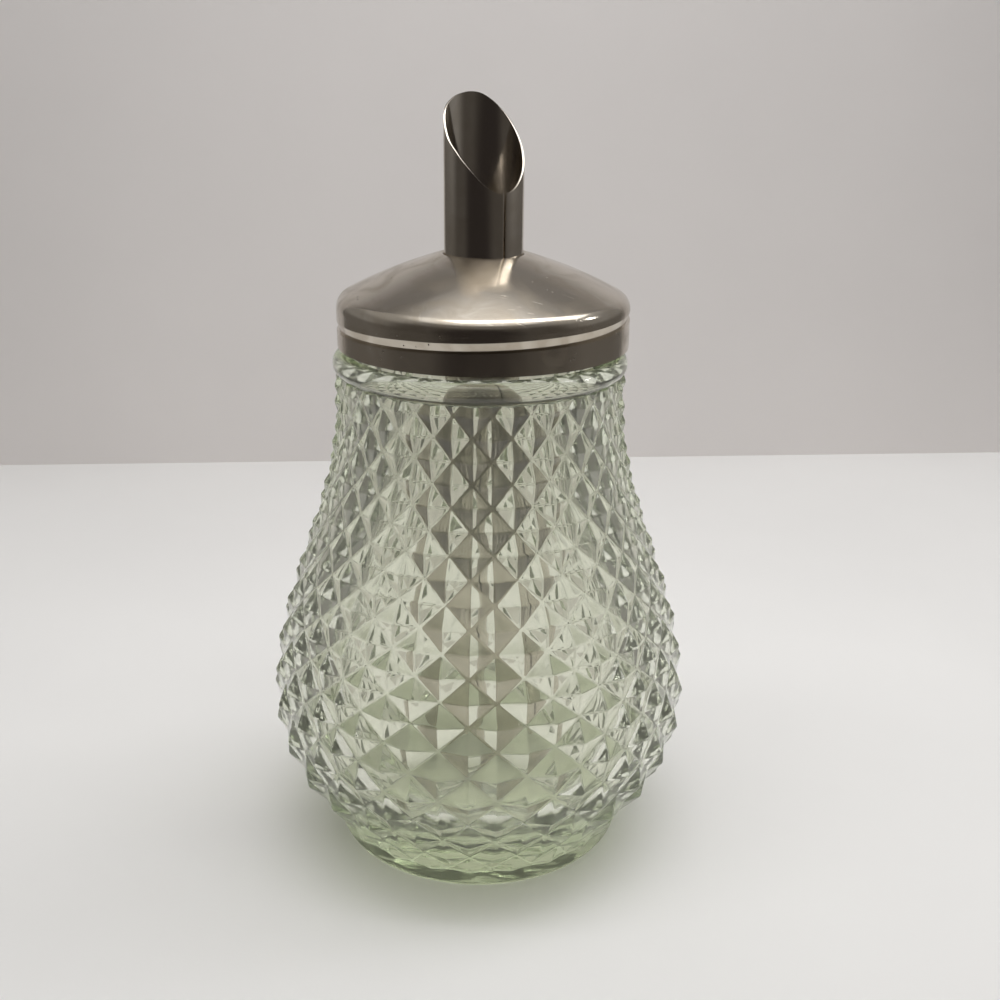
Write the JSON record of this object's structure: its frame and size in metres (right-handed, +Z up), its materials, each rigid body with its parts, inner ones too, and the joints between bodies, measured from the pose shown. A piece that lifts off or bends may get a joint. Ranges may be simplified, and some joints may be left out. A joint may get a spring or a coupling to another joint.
{
  "type": "sugar dispenser",
  "caption": "Pressed-glass pouring jar with a diamond pattern, a domed steel screw lid and a slanted steel pouring tube.",
  "frame": {"origin": "middle of the jar's foot, on the surface it stands on", "axes": "+Z up along the jar's axis, the tube's seam and the low side of its mouth towards the front right (-Y, +X)"},
  "size_m": [0.0914, 0.0914, 0.1601],
  "materials": {
    "glass": "clear pressed glass with a faint green tint",
    "lid_steel": "polished stainless steel, a little worn",
    "tube_steel": "polished stainless steel, a little worn"
  },
  "bodies": {
    "root": {"glass_jar": "glass", "lid": "lid_steel", "pouring_tube": "tube_steel"}
  },
  "joints": []
}
